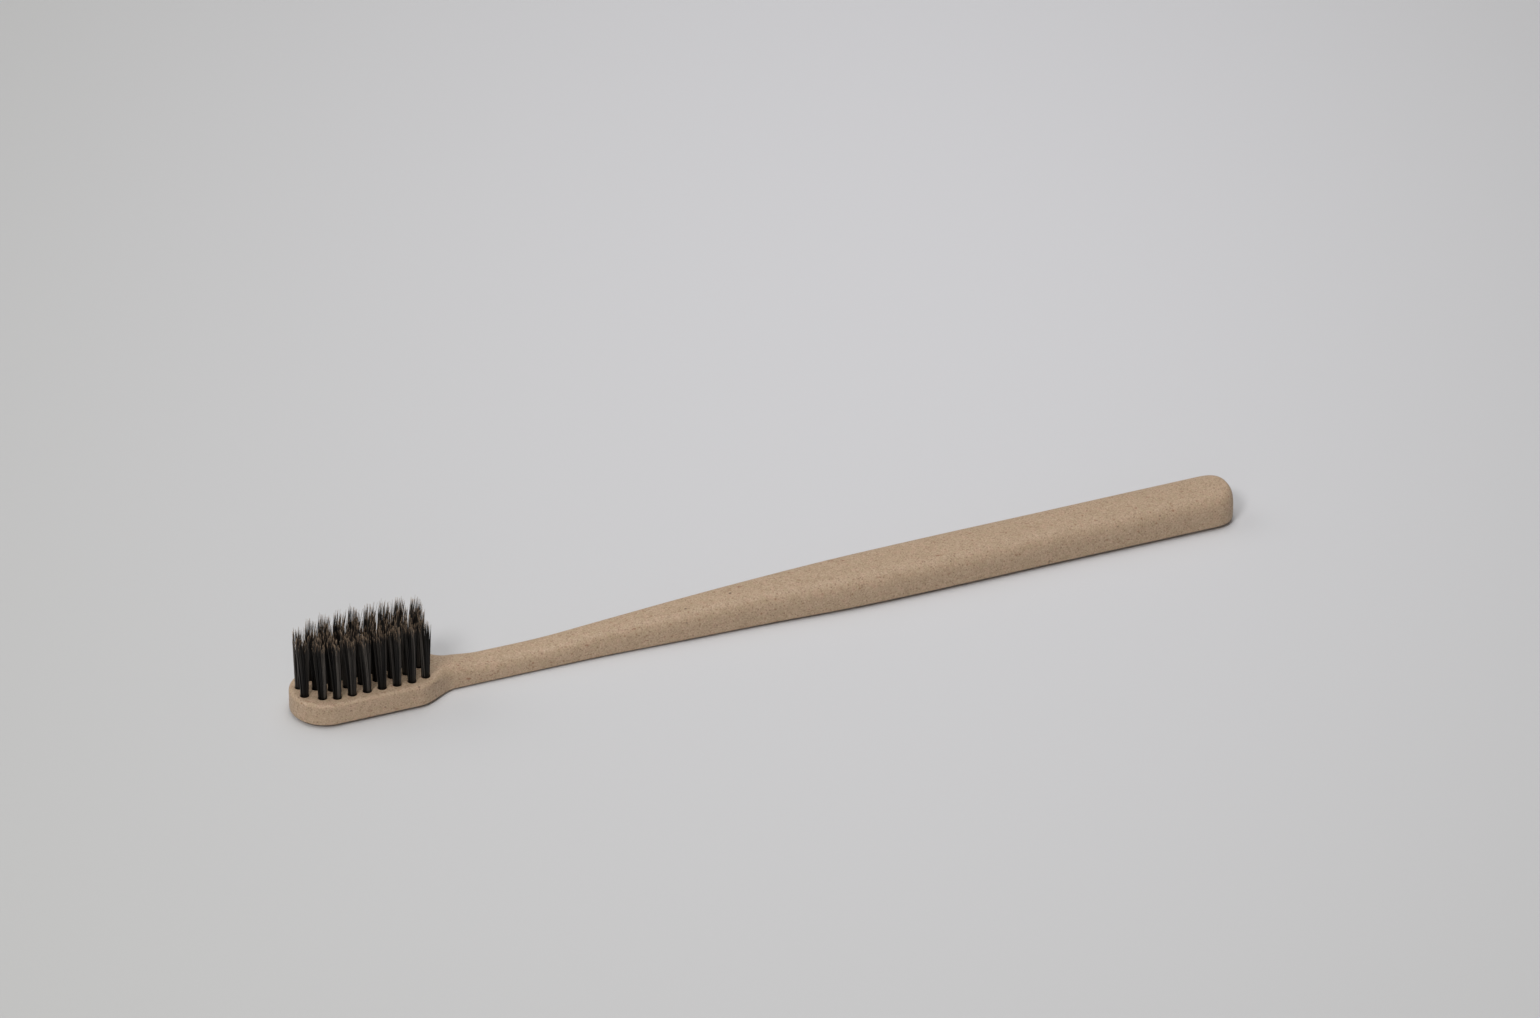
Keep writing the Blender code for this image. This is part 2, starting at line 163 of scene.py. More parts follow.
# %% Sizes of the handle
LENGTH = 180 * MM
BACK_EDGE, BACK_RISE_SHARE = 0.4 * MM, 0.5
HEAD_LIFT, TAIL_LIFT = 0.5 * MM, 0.8 * MM
SIDE_LAND = 0.3 * MM
HEAD_THICKNESS = 4.6 * MM
HEAD_RIM = 0.7 * MM
TUFT_PITCH = 2.72 * MM
ROW_PITCH = 2.68 * MM
HEAD_HALF_WIDTH = 1.5 * ROW_PITCH + 2.3 * MM
FIRST_FULL_COLUMN = 2.06 * MM + 1.84 * TUFT_PITCH
FACE_END = FIRST_FULL_COLUMN + 6 * TUFT_PITCH + 4.6 * MM
ARCH_START = FACE_END - 3.4 * MM
SHOULDER_END = FACE_END + 1.2 * MM
SHOULDER_START = SHOULDER_END - 7.7 * MM
NECK_WIDTH, NECK_HEIGHT, NECK_DROP = 6.1 * MM, 3.8 * MM, 7.0 * MM
GRIP_WIDTH, GRIP_HEIGHT = 11.1 * MM, 6.7 * MM
STATIONS = np.array(
    [
        (0.0, 0.0, 0.02),
        (0.055, 0.0, 0.0),
        (0.12, 0.0, 0.02),
        (0.19, 0.04, 0.25),
        (0.30, 0.31, 0.52),
        (0.40, 0.55, 0.69),
        (0.50, 0.91, 0.72),
        (0.57, 1.0, 0.75),
        (0.67, 0.99, 0.82),
        (0.78, 0.92, 0.89),
        (0.88, 0.92, 0.94),
        (1.0, 0.90, 1.0),
    ]
)
TAIL_WIDTH = NECK_WIDTH + (GRIP_WIDTH - NECK_WIDTH) * STATIONS[-1][1]
TAIL_CENTRE = LENGTH - TAIL_WIDTH / 2
TAIL_SQUARENESS, TAIL_CROWN_REACH = 2.5, 1.7 * MM
print("face ends", round(FACE_END / MM, 2), "mm from the tip")
print("tail is", round(TAIL_WIDTH / MM, 2), "mm wide")

# %% [markdown]
# Between two stations the curve leaves and arrives with the slope of its neighbours, so no
# station shows as a kink in the light along the grip. The two functions after it answer the
# only questions the mesh asks: how wide is the brush here, and how high.


# %% Width and height along the brush
def mix(start, end, share):
    """The value a share of the way from start to end."""
    return start + (end - start) * share


def ease(share):
    """A share from 0 to 1 that leaves and arrives level."""
    held = min(max(share, 0.0), 1.0)
    return held * held * (3.0 - 2.0 * held)


def along_body(u):
    """How far a place lies along the stretch from the shoulder to the tail's centre."""
    return (u - SHOULDER_END) / (TAIL_CENTRE - SHOULDER_END)


def station_curve(share, column):
    """One column of the stations, read as a smooth curve."""
    held = min(max(share, 0.0), 1.0)
    index = 0
    while index < len(STATIONS) - 2 and held > STATIONS[index + 1][0]:
        index += 1
    left, right = STATIONS[index], STATIONS[index + 1]
    before, after = STATIONS[max(index - 1, 0)], STATIONS[min(index + 2, len(STATIONS) - 1)]
    step = right[0] - left[0]
    leave = (right[column] - before[column]) / (right[0] - before[0]) * step
    arrive = (after[column] - left[column]) / (after[0] - left[0]) * step
    t = (held - left[0]) / step
    value = mix(left[column], right[column], 3 * t**2 - 2 * t**3)
    return value + (t**3 - 2 * t**2 + t) * leave + (t**3 - t**2) * arrive


def half_width(u):
    """Half the width at a place measured from the tip of the head."""
    if u <= SHOULDER_END:
        share = (u - SHOULDER_START) / (SHOULDER_END - SHOULDER_START)
        return mix(HEAD_HALF_WIDTH, NECK_WIDTH / 2, ease(share))
    return mix(NECK_WIDTH, GRIP_WIDTH, station_curve(along_body(u), 1)) / 2


def height(u):
    """Height of the top above the table at a place measured from the tip of the head."""
    body = mix(NECK_HEIGHT, GRIP_HEIGHT, station_curve(along_body(u), 2))
    start = mix(NECK_HEIGHT, GRIP_HEIGHT, STATIONS[0][2])
    return body + (HEAD_THICKNESS - start) * (1.0 - ease((u - FACE_END) / NECK_DROP))


for u in (10, 28, 40, 100, 170):
    width_here, height_here = 2 * half_width(u * MM) / MM, height(u * MM) / MM
    print(u, "mm from the tip: width", round(width_here, 2), "height", round(height_here, 2))

# %% [markdown]
# A cross-section starts on the flat back, which rises a little towards its edges and more so
# towards the tail, so that the brush stands on its middle and leaves a fine dark gap at the
# table. It turns up round a small lower edge, climbs the side and closes over the top. Two
# numbers shape the top: how far the round reaches in, and how square it is. On the head they
# give a small rim beside a flat face, and along the arch where the face ends they open into
# the full crown of the neck. Round the tail the top turns down more tightly.


# %% The cross-section
RISE_STEPS, EDGE_STEPS, CROWN_STEPS = 8, 6, 22
HEAD_SQUARENESS, NECK_SQUARENESS, GRIP_SQUARENESS = 2.0, 2.7, 3.3
NECK_CROWN_SHARE = 0.88
END_STEPS = 28
STRETCHES = (
    (HEAD_HALF_WIDTH, SHOULDER_START, 20),
    (SHOULDER_START, SHOULDER_END, 48),
    (SHOULDER_END, TAIL_CENTRE, 150),
)


def lower_edge(u):
    """The back's slow rise and its small round edge, as (inset, height) points."""
    half = half_width(u)
    lift = mix(HEAD_LIFT, TAIL_LIFT, u / LENGTH) * half / HEAD_HALF_WIDTH
    rise_end = half * BACK_RISE_SHARE
    slope = math.atan(2 * lift / (rise_end - BACK_EDGE / 2))
    rise_start = BACK_EDGE * (1.0 - math.sin(slope))
    points = []
    for step in range(RISE_STEPS):
        share = step / RISE_STEPS
        points.append((mix(rise_end, rise_start, share), lift * share**2))
    for step in range(EDGE_STEPS + 1):
        turn = mix(slope, math.pi / 2, step / EDGE_STEPS)
        rise = BACK_EDGE * (math.cos(slope) - math.cos(turn))
        points.append((BACK_EDGE * (1.0 - math.sin(turn)), lift + rise))
    return points


def section(u, end_share):
    """One side of the cross-section, as (inset from the side, height) points."""
    half, top = half_width(u), height(u)
    points = lower_edge(u)
    crown = ease((u - ARCH_START) / (SHOULDER_END - ARCH_START))
    squareness = mix(NECK_SQUARENESS, GRIP_SQUARENESS, ease(2 * along_body(u)))
    full_reach = mix(half * NECK_CROWN_SHARE, TAIL_CROWN_REACH, end_share)
    reach = mix(HEAD_RIM, full_reach, crown)
    drop = mix(HEAD_RIM, top - points[-1][1] - SIDE_LAND, crown)
    power = 2.0 / mix(HEAD_SQUARENESS, squareness, crown)
    for step in range(CROWN_STEPS + 1):
        turn = math.pi / 2 * step / CROWN_STEPS
        inset = reach * (1.0 - max(math.cos(turn), 0.0) ** power)
        points.append((inset, top - drop + drop * math.sin(turn) ** power))
    return points


def outline():
    """Half the outline from tip to tail: (place, inward direction, section's place, end_share)."""
    places = []
    tip_centre, tail_centre = Vector((HEAD_HALF_WIDTH, 0.0)), Vector((TAIL_CENTRE, 0.0))
    for step in range(END_STEPS):
        turn = math.pi / 2 * step / END_STEPS
        inward = Vector((math.cos(turn), -math.sin(turn)))
        places.append((tip_centre - inward * HEAD_HALF_WIDTH, inward, HEAD_HALF_WIDTH, 0.0))
    for start, end, steps in STRETCHES:
        for step in range(steps):
            u = mix(start, end, step / steps)
            places.append((Vector((u, half_width(u))), Vector((0.0, -1.0)), u, 0.0))
    for step in range(END_STEPS + 1):
        turn = math.pi / 2 * (1.0 - step / END_STEPS)
        across = math.sin(turn) ** (2.0 / TAIL_SQUARENESS) if step < END_STEPS else 0.0
        along = abs(math.cos(turn)) ** (2.0 / TAIL_SQUARENESS) if step else 0.0
        out = Vector((along, across)) * TAIL_WIDTH / 2
        places.append((tail_centre + out, -out.normalized(), TAIL_CENTRE, math.cos(turn) ** 2))
    return places


print("outline points", len(outline()), "points up each side", len(section(0.0, 0.0)))


# %% [markdown]
# The loops are joined into one closed skin, mirrored over the middle. The tip and the tail
# lie on the middle line, so both halves share their vertices there.


# %% The handle's skin
def new_object(name, shape, material=None, smooth=True):
    """Turns a bmesh into an object in the scene."""
    bmesh.ops.recalc_face_normals(shape, faces=shape.faces)
    mesh = bpy.data.meshes.new(name)
    shape.to_mesh(mesh)
    shape.free()
    if smooth:
        mesh.shade_smooth()
    if material:
        mesh.materials.append(material)
    made = bpy.data.objects.new(name, mesh)
    bpy.context.scene.collection.objects.link(made)
    return made


def handle_skin():
    """The handle without its holes."""
    shape = bmesh.new()
    places = outline()
    last = len(places) - 1
    loops = []
    for level in range(len(section(0.0, 0.0))):
        right, left = [], []
        for index, (place, inward, u, end_share) in enumerate(places):
            inset, rise = section(u, end_share)[level]
            spot = place + inward * inset
            x = spot.x - LENGTH / 2
            right.append(shape.verts.new((x, spot.y, rise)))
            on_middle = index in (0, last)
            left.append(right[-1] if on_middle else shape.verts.new((x, -spot.y, rise)))
        loops.append((right, left))
    for lower, upper in zip(loops, loops[1:]):
        for low, high, side in zip(lower, upper, (1, -1)):
            for index in range(last):
                shape.faces.new((low[index + 1], low[index], high[index], high[index + 1])[::side])
    for right, left in (loops[0], loops[-1]):
        for index in range(last):
            corners = [right[index], right[index + 1], left[index + 1], left[index]]
            shape.faces.new(list(dict.fromkeys(corners)))
    return shape


# %% [markdown]
# Where the tufts stand
#
# Seen from the tip the columns hold two, three, six times four and again three tufts. The
# holes are blind and a touch wider than the bundles. Their mouths have a fine countersink
# from the mould, which is what draws a dark ring round each tuft. Under each tuft lies a
# slot that its wire anchor has cut into the walls.

# %% Tuft places and hole sizes
HOLE_RADIUS, HOLE_DEPTH = 0.8 * MM, 3.2 * MM
HOLE_FLOOR = HEAD_THICKNESS - HOLE_DEPTH
MOUTH, OVERRUN = 0.07 * MM, 1.0 * MM
PIN_SIDES = 40
SLOT_PLAY = 0.05 * MM
WIRE_THICKNESS, WIRE_HEIGHT, WIRE_HALF_LENGTH = 0.25 * MM, 1.4 * MM, 1.08 * MM
WIRE_BOTTOM = HOLE_FLOOR + 0.5 * MM
WIRE_CORNER = 0.25 * MM
WIRE_TURN = math.radians(35)
COLUMNS = [(-1.84, (-0.52, 0.52)), (-0.88, (-1.2, 0.0, 1.2))]
COLUMNS += [(column, (-1.5, -0.5, 0.5, 1.5)) for column in range(6)]
COLUMNS += [(6.0, (-1.28, 0.0, 1.28))]
tuft_places = [
    Vector((FIRST_FULL_COLUMN + along * TUFT_PITCH - LENGTH / 2, across * ROW_PITCH))
    for along, row in COLUMNS
    for across in row
]
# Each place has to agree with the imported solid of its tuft.
for index, place in enumerate(tuft_places):
    low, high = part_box(f"tuft_{index + 1:02d}")
    assert (Vector(((low.x + high.x) / 2, (low.y + high.y) / 2)) - place).length < 0.2 * MM
print("tufts", len(tuft_places))

# %% [markdown]
# The holes are real: a cutter of 32 stepped pins and 32 slot blades is taken away from the
# skin. A Boolean leaves long thin faces beside the holes, which would spoil smooth shading,
# so the result's normals are weighted by face area. The flat face then stays flat in the
# light right up to each mouth.


# %% Cut the holes
def pin(shape, centre):
    """One stepped pin: hole, countersink and some overrun above the face."""
    profile = (
        (HOLE_FLOOR, HOLE_RADIUS),
        (HEAD_THICKNESS - MOUTH, HOLE_RADIUS),
        (HEAD_THICKNESS + MOUTH, HOLE_RADIUS + 2 * MOUTH),
        (HEAD_THICKNESS + OVERRUN, HOLE_RADIUS + 2 * MOUTH),
    )
    turns = [2 * math.pi * step / PIN_SIDES for step in range(PIN_SIDES)]
    rings = []
    for z, radius in profile:
        spots = [
            (centre.x + radius * math.cos(turn), centre.y + radius * math.sin(turn), z)
            for turn in turns
        ]
        rings.append([shape.verts.new(spot) for spot in spots])
    for low, high in zip(rings, rings[1:]):
        for index in range(PIN_SIDES):
            after = (index + 1) % PIN_SIDES
            shape.faces.new((low[index], low[after], high[after], high[index]))
    shape.faces.new(rings[0][::-1])
    shape.faces.new(rings[-1])


def wire_blade(shape, centre, grow=0.0):
    """A flat wire across a hole, its lower corners cut off, grown all round for its slot."""
    end, half = WIRE_HALF_LENGTH + grow, WIRE_THICKNESS / 2 + grow
    low, high, corner = WIRE_BOTTOM - grow, WIRE_BOTTOM + WIRE_HEIGHT + grow, WIRE_CORNER
    profile = (
        (-end + corner, low),
        (end - corner, low),
        (end, low + corner),
        (end, high),
        (-end, high),
        (-end, low + corner),
    )
    cos, sin = math.cos(WIRE_TURN), math.sin(WIRE_TURN)
    sides = []
    for y in (-half, half):
        spots = [
            (centre.x + x * cos - y * sin, centre.y + x * sin + y * cos, z) for x, z in profile
        ]
        sides.append([shape.verts.new(spot) for spot in spots])
    shape.faces.new(sides[0])
    shape.faces.new(sides[1][::-1])
    for index in range(len(profile)):
        after = (index + 1) % len(profile)
        shape.faces.new((sides[0][after], sides[0][index], sides[1][index], sides[1][after]))


def cut(target, cutter):
    """Takes the cutter away from the target and removes it."""
    step = target.modifiers.new("cut", "BOOLEAN")
    step.operation, step.solver, step.object = "DIFFERENCE", "EXACT", cutter
    shown = target.evaluated_get(bpy.context.evaluated_depsgraph_get())
    target.data = bpy.data.meshes.new_from_object(shown)
    target.modifiers.clear()
    bpy.data.objects.remove(cutter)


handle = new_object("handle_moulding", handle_skin())
pins, blades = bmesh.new(), bmesh.new()
for place in tuft_places:
    pin(pins, place)
    wire_blade(blades, place, SLOT_PLAY)
cut(handle, new_object("pins", pins))
cut(handle, new_object("blades", blades))
handle.data.name = "handle_moulding"
handle.data.shade_smooth()
handle.data.set_sharp_from_angle(angle=math.radians(38))
weighted = handle.modifiers.new("flat_face_stays_flat", "WEIGHTED_NORMAL")
weighted.keep_sharp = True
weighted.weight = 60
print("handle faces", len(handle.data.polygons))

# %% [markdown]
# The straw plastic
#
# Ground straw and a light binder give a warm sand colour that is never even. Four things
# make it: patches that lean to pink or to olive, a fine grain, many small brown flecks of
# husk, and now and then a darker or redder splinter lying along the flow of the plastic. A
# picture of the surface would stretch round the edges, so the flecks are cut from a solid
# pattern: the cells of a Voronoi texture, of which only some hold a fleck, each of its own
# size. Stretching the cells turns dots into splinters.


# %% The straw plastic's pattern
FLECK_WAVES, FLECK_BEND = 2.4, 0.18


def flecks(shader, size, held_share, radius, turn=(0.0, 0.0, 0.0), stretch=(1.0, 1.0, 1.0)):
    """Scattered flecks, 1 on a fleck. size is the cell in millimetres; radius is a share of it."""
    place = shader.millimetres(turn, tuple(size * s for s in stretch))
    noise = {"Vector": place, "Scale": FLECK_WAVES, "Detail": 1.0}
    waves = shader.add("ShaderNodeTexNoise", noise).outputs["Color"]
    centred = shader.vector("SUBTRACT", {0: waves, 1: (0.5, 0.5, 0.5)}).outputs[0]
    bent = shader.vector("SCALE", {0: centred, 3: FLECK_BEND}).outputs[0]
    moved = shader.vector("ADD", {0: place, 1: bent}).outputs[0]
    cells = shader.add("ShaderNodeTexVoronoi", {"Vector": moved, "Scale": 1.0})
    chance = shader.add("ShaderNodeSeparateColor", {0: cells.outputs["Color"]})
    holds = shader.calc("LESS_THAN", chance.outputs[0], held_share)
    reach = shader.calc("MULTIPLY_ADD", chance.outputs[1], radius, radius * 0.5)
    core = shader.calc("MULTIPLY", reach, 0.55)
    spot = shader.between(cells.outputs["Distance"], core, reach, 1.0, 0.0)
    depth = shader.calc("MULTIPLY_ADD", chance.outputs[2], 0.6, 0.4)
    return shader.calc("MULTIPLY", shader.calc("MULTIPLY", spot, holds), depth)


straw = Shader("straw_plastic")
place_mm = straw.millimetres()
mottle = straw.noise(place_mm, 2.6, 2.0, 0.5)
pink = straw.noise(straw.millimetres(turn=(0.4, 0.2, 0.7)), 1.1, 2.0)
olive = straw.noise(straw.millimetres(turn=(1.1, 0.6, 0.3)), 0.8, 2.0)
grain = straw.noise(place_mm, 0.3, 3.0, 0.65)
small_flecks = flecks(straw, 0.72, 0.42, 0.27)
fine_flecks = flecks(straw, 0.38, 0.6, 0.37, turn=(0.5, 0.3, 0.9))
splinters = flecks(straw, 1.1, 0.25, 0.20, turn=(0.0, 0.0, 0.35), stretch=(1.9, 0.8, 0.8))
dark_flecks = flecks(straw, 2.0, 0.26, 0.11, turn=(0.3, 0.8, 0.2))
base_share = straw.between(mottle, 0.3, 0.7)
colour = straw.blend(base_share, (0.386, 0.278, 0.184), (0.420, 0.303, 0.206))
layers = (
    (straw.between(pink, 0.45, 0.7, 0.0, 0.55), (0.454, 0.301, 0.211)),
    (straw.between(olive, 0.45, 0.7, 0.0, 0.5), (0.371, 0.282, 0.173)),
    (straw.between(grain, 0.27, 0.5, 0.75, 0.0), (0.24, 0.16, 0.10)),
    (straw.between(grain, 0.5, 0.72, 0.0, 0.55), (0.56, 0.435, 0.32)),
    (straw.calc("MULTIPLY", fine_flecks, 0.8), (0.21, 0.13, 0.08)),
    (straw.calc("MULTIPLY", small_flecks, 0.7), (0.24, 0.125, 0.065)),
    (straw.calc("MULTIPLY", splinters, 0.75), (0.22, 0.10, 0.055)),
    (straw.calc("MULTIPLY", dark_flecks, 0.8), (0.085, 0.052, 0.033)),
)
for share, tint in layers:
    colour = straw.blend(share, colour, tint)
straw.dress("Base Color", colour)
print("straw plastic nodes", len(straw.tree.nodes))

# %% [markdown]
# Light decides the rest. The skin is matt but not dead: its roughness varies with the
# grain, and a very fine relief breaks the highlight along the rims. Flecks stand a hair
# proud of the binder, so they take part in the relief as well.

# %% The straw plastic's relief
relief = straw.calc("MULTIPLY_ADD", small_flecks, 0.35, grain)
bump = straw.add("ShaderNodeBump", {"Height": relief, "Strength": 0.55, "Distance": 0.02 * MM})
straw.dress("Normal", bump.outputs[0])
straw.dress("Roughness", straw.between(grain, 0.2, 0.8, 0.64, 0.48))
straw.dress("Specular IOR Level", 0.32)
handle.data.materials.clear()
handle.data.materials.append(straw.material)
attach(handle, "root")
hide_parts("handle")
print("handle stands for the moulded solid")

# %% [markdown]
# The bristles
#
# Each tuft is a small bundle of nylon filaments folded in the middle round its wire anchor,
# so that every filament has two legs. The legs fill the hole tightly, fan out a little above
# it and gather in loose points at the top, where each one thins to a hair. A particle system
# could draw hair, but it has no surface to measure or to export. Here each filament is a
# thin tube swept along its own path, and all filaments of a tuft are one mesh.
#
# The first step packs the feet of one side's legs between the anchor and the hole's wall.

# %% Pack the feet of a tuft
FILAMENT_RADIUS, TIP_RADIUS = 0.074 * MM, 0.02 * MM
FILAMENT_PITCH = 0.152 * MM
PACKED_ROW = FILAMENT_PITCH * 0.866
WIRE_PLAY = 0.01 * MM
BUNDLE_RADIUS, FLARED_RADIUS = 0.75 * MM, 1.27 * MM
TRIM_HEIGHT, TOP_PLAY = 11.45 * MM, 0.05 * MM
LONGEST = model_box[1].z - HEAD_THICKNESS - TOP_PLAY
HEAD_MIDDLE = FIRST_FULL_COLUMN + 2.1 * TUFT_PITCH - LENGTH / 2


def leg_feet():
    """Feet of the legs on one side of the anchor, in its own directions."""
    feet = []
    room = BUNDLE_RADIUS - FILAMENT_RADIUS
    across = WIRE_THICKNESS / 2 + FILAMENT_RADIUS + WIRE_PLAY
    while across <= room:
        reach = math.sqrt(room**2 - across**2)
        count = int(2 * reach / FILAMENT_PITCH + 1)
        for step in range(count):
            feet.append(((step - (count - 1) / 2) * FILAMENT_PITCH, across))
        across += PACKED_ROW
    return feet


print("filaments in a tuft", len(leg_feet()), "legs", 2 * len(leg_feet()))

# %% [markdown]
# A leg's path starts at its foot and ends at its tip. It leans out with its distance from
# the middle of the bundle, strays a little, and is drawn towards the middle of its clump:
# static and damp gather the filaments of a tuft into some ten clumps, with dark gaps between
# them. The fold under the anchor is half of a flattened ring, nested inside the hole: the
# legs nearest the wire turn first, the outer ones reach down to the hole's floor.


# %% Paths of the filaments
LEG_SHARES = (0.0, 0.14, 0.30, 0.46, 0.60, 0.70, 0.78, 0.85, 0.91, 0.96, 1.0)
TAPER_LENGTH, TAPER_POWER = 3.6 * MM, 0.8
TOP_ROUNDING, LENGTH_SPREAD = 1.0 * MM, 0.55 * MM
# The near rows lean a little to the tip and the far ones to the handle; the columns fan out.
BASE_LEAN, ROW_LEAN, LEAN_SPREAD, FAN = 0.13 * MM, 0.39 * MM, 0.07 * MM, 0.022
# A leg's own share of the flare and of the pull of its clump, and its stray and bow.
FLARE_RANGE, PULL_RANGE = (0.85, 1.1), (0.15, 0.6)
STRAY, BOW = 0.14 * MM, 0.03 * MM
LEAN_POWER, STRAY_POWER = 1.4, 2.2
# The clumps spiral out from the middle and differ in length and shade.
CLUMPS = 10
GOLDEN_TURN = math.pi * (3.0 - math.sqrt(5.0))
CLUMP_TURN_SPREAD, CLUMP_LENGTH_SPREAD = 0.25, 0.12 * MM
SHADE_POWER, OWN_SHADE = 1.8, 0.25
FOLD_STEPS, FOLD_POWER, FOLD_PLAY = 6, 0.7, 0.05 * MM


def turned(x, y):
    """A direction of the anchor in the directions of the brush."""
    cos, sin = math.cos(WIRE_TURN), math.sin(WIRE_TURN)
    return np.array((x * cos - y * sin, x * sin + y * cos))


def scatter(chance, spread):
    """A random step over the face."""
    return np.array((chance.gauss(0, spread), chance.gauss(0, spread)))


def clump_middles(chance):
    """The clumps of a tuft, spread evenly over its foot: (middle, shade, extra length)."""
    start = 2 * math.pi * chance.random()
    clump_shades = [((index + 0.5) / CLUMPS) ** SHADE_POWER for index in range(CLUMPS)]
    chance.shuffle(clump_shades)
    middles = []
    for index in range(CLUMPS):
        reach = BUNDLE_RADIUS * math.sqrt((index + 0.5) / CLUMPS)
        turn = start + index * GOLDEN_TURN + chance.gauss(0, CLUMP_TURN_SPREAD)
        middle = reach * np.array((math.cos(turn), math.sin(turn)))
        middles.append((middle, clump_shades[index], chance.gauss(0.0, CLUMP_LENGTH_SPREAD)))
    return middles


def leg_path(foot, centre, lean, clumps, chance):
    """Points from the face up to the tip of one leg, the radius at each, and its shade."""
    spot = turned(*foot)
    flare = FLARED_RADIUS / BUNDLE_RADIUS - 1.0
    nearest = min(clumps, key=lambda clump: float(np.sum((clump[0] - spot) ** 2)))
    middle, clump_shade, clump_length = nearest
    pull = (middle - spot) * chance.uniform(*PULL_RANGE)
    out = spot * flare * chance.uniform(*FLARE_RANGE)
    gather = pull * (1.0 + flare)
    stray, bow = scatter(chance, STRAY), scatter(chance, BOW)
    rounding = TOP_ROUNDING * float(np.sum(spot**2)) / BUNDLE_RADIUS**2
    length = TRIM_HEIGHT - rounding + clump_length + chance.gauss(0.0, LENGTH_SPREAD)
    length = min(length, LONGEST)
    points, radii = [], []
    for share in LEG_SHARES:
        shift = (out + gather) * share + lean * share**LEAN_POWER + stray * share**STRAY_POWER
        shift = shift + bow * math.sin(math.pi * share)
        points.append((*(centre + spot + shift), HEAD_THICKNESS + length * share))
        left = length * (1.0 - share)
        taper = min(left / TAPER_LENGTH, 1.0) ** TAPER_POWER
        radii.append(max(FILAMENT_RADIUS * taper, TIP_RADIUS))
    return points, radii, mix(clump_shade, chance.random() ** SHADE_POWER, OWN_SHADE)


def fold_path(foot, centre):
    """Points of the fold under the anchor, from one leg's foot to the other's."""
    x, across = foot
    nearest = WIRE_THICKNESS / 2 + FILAMENT_RADIUS
    share = (across - nearest) / (BUNDLE_RADIUS - FILAMENT_RADIUS - nearest)
    start = WIRE_BOTTOM + FOLD_PLAY
    highest = WIRE_BOTTOM - FILAMENT_RADIUS - WIRE_PLAY
    lowest = HOLE_FLOOR + FILAMENT_RADIUS + FOLD_PLAY
    bottom = mix(highest, lowest, share)
    points = []
    for step in range(FOLD_STEPS + 1):
        turn = math.pi * step / FOLD_STEPS
        side = math.copysign(abs(math.cos(turn)) ** FOLD_POWER, math.cos(turn))
        if 2 * step == FOLD_STEPS:
            side = 0.0
        rise = start - (start - bottom) * math.sin(turn) ** FOLD_POWER
        points.append((*(centre + turned(x, across * side)), rise))
    return points


print("points on a filament", 2 * len(LEG_SHARES) + FOLD_STEPS + 1)

# %% [markdown]
# Sweeping is the same for every filament: a ring of five points at each stop of the path,
# square to it. Two values are kept with each vertex for the finish: how far it lies from
# the tip, and a shade of its own for the filament. A map named for the exporter gives each
# filament its own strip, so that nothing smears when the finish is baked.


# %% Sweep a tuft
SIDES = 5
STRIP_MARGIN = 0.06
FAR_FROM_TIP = 20.0


def sweep(paths):
    """Tubes along many paths, as arrays: points, faces, tip distance, shade and map."""
    verts, faces, from_tip, shades, spots = [], [], [], [], []
    for number, (points, radii, tip_distance, path_shades) in enumerate(paths):
        line = np.array(points)
        ahead = np.gradient(line, axis=0)
        ahead /= np.linalg.norm(ahead, axis=1)[:, None]
        side = np.array((*turned(1.0, 0.0), 0.0))
        over = np.cross(ahead, side)
        over /= np.linalg.norm(over, axis=1)[:, None]
        side = np.cross(over, ahead)
        base = len(verts)
        for index, stop in enumerate(line):
            for corner in range(SIDES):
                turn = 2 * math.pi * corner / SIDES
                outward = side[index] * math.cos(turn) + over[index] * math.sin(turn)
                verts.append(stop + outward * radii[index])
                from_tip.append(tip_distance[index])
                shades.append(path_shades[index])
        strip_start = (number + STRIP_MARGIN) / len(paths)
        strip_step = (1.0 - 2 * STRIP_MARGIN) / len(paths) / SIDES
        last = len(line) - 1
        for index in range(last):
            for corner in range(SIDES):
                after = (corner + 1) % SIDES
                low, high = base + index * SIDES, base + (index + 1) * SIDES
                faces.append((low + corner, low + after, high + after, high + corner))
                across = strip_start + corner * strip_step, strip_start + (corner + 1) * strip_step
                spots += [(across[0], index / last), (across[1], index / last)]
                spots += [(across[1], (index + 1) / last), (across[0], (index + 1) / last)]
        faces.append(tuple(base + corner for corner in reversed(range(SIDES))))
        faces.append(tuple(base + last * SIDES + corner for corner in range(SIDES)))
        spots += [(strip_start, 0.0)] * SIDES + [(strip_start, 1.0)] * SIDES
    return verts, faces, from_tip, shades, spots


def tuft_paths(centre, row, chance):
    """Every filament of a tuft: its points, radii, distances from the tip, and shade."""
    along = row * ROW_LEAN + BASE_LEAN + (centre[0] - HEAD_MIDDLE) * FAN
    lean = scatter(chance, LEAN_SPREAD) + np.array((along, 0.0))
    clumps = clump_middles(chance)
    paths = []
    for x, across in leg_feet():
        first, first_radii, first_shade = leg_path((x, across), centre, lean, clumps, chance)
        second, second_radii, second_shade = leg_path((x, -across), centre, lean, clumps, chance)
        bottom = fold_path((x, across), centre)
        half_fold = FOLD_STEPS // 2
        shades = [first_shade] * (len(first) + half_fold)
        shades += [second_shade] * (len(second) + half_fold + 1)
        points = first[::-1] + bottom + second
        radii = first_radii[::-1] + [FILAMENT_RADIUS] * len(bottom) + second_radii
        tips = [(first[-1][2] - p[2]) / MM for p in first[::-1]] + [FAR_FROM_TIP] * len(bottom)
        tips += [(second[-1][2] - p[2]) / MM for p in second]
        paths.append((points, radii, tips, shades))
    return paths


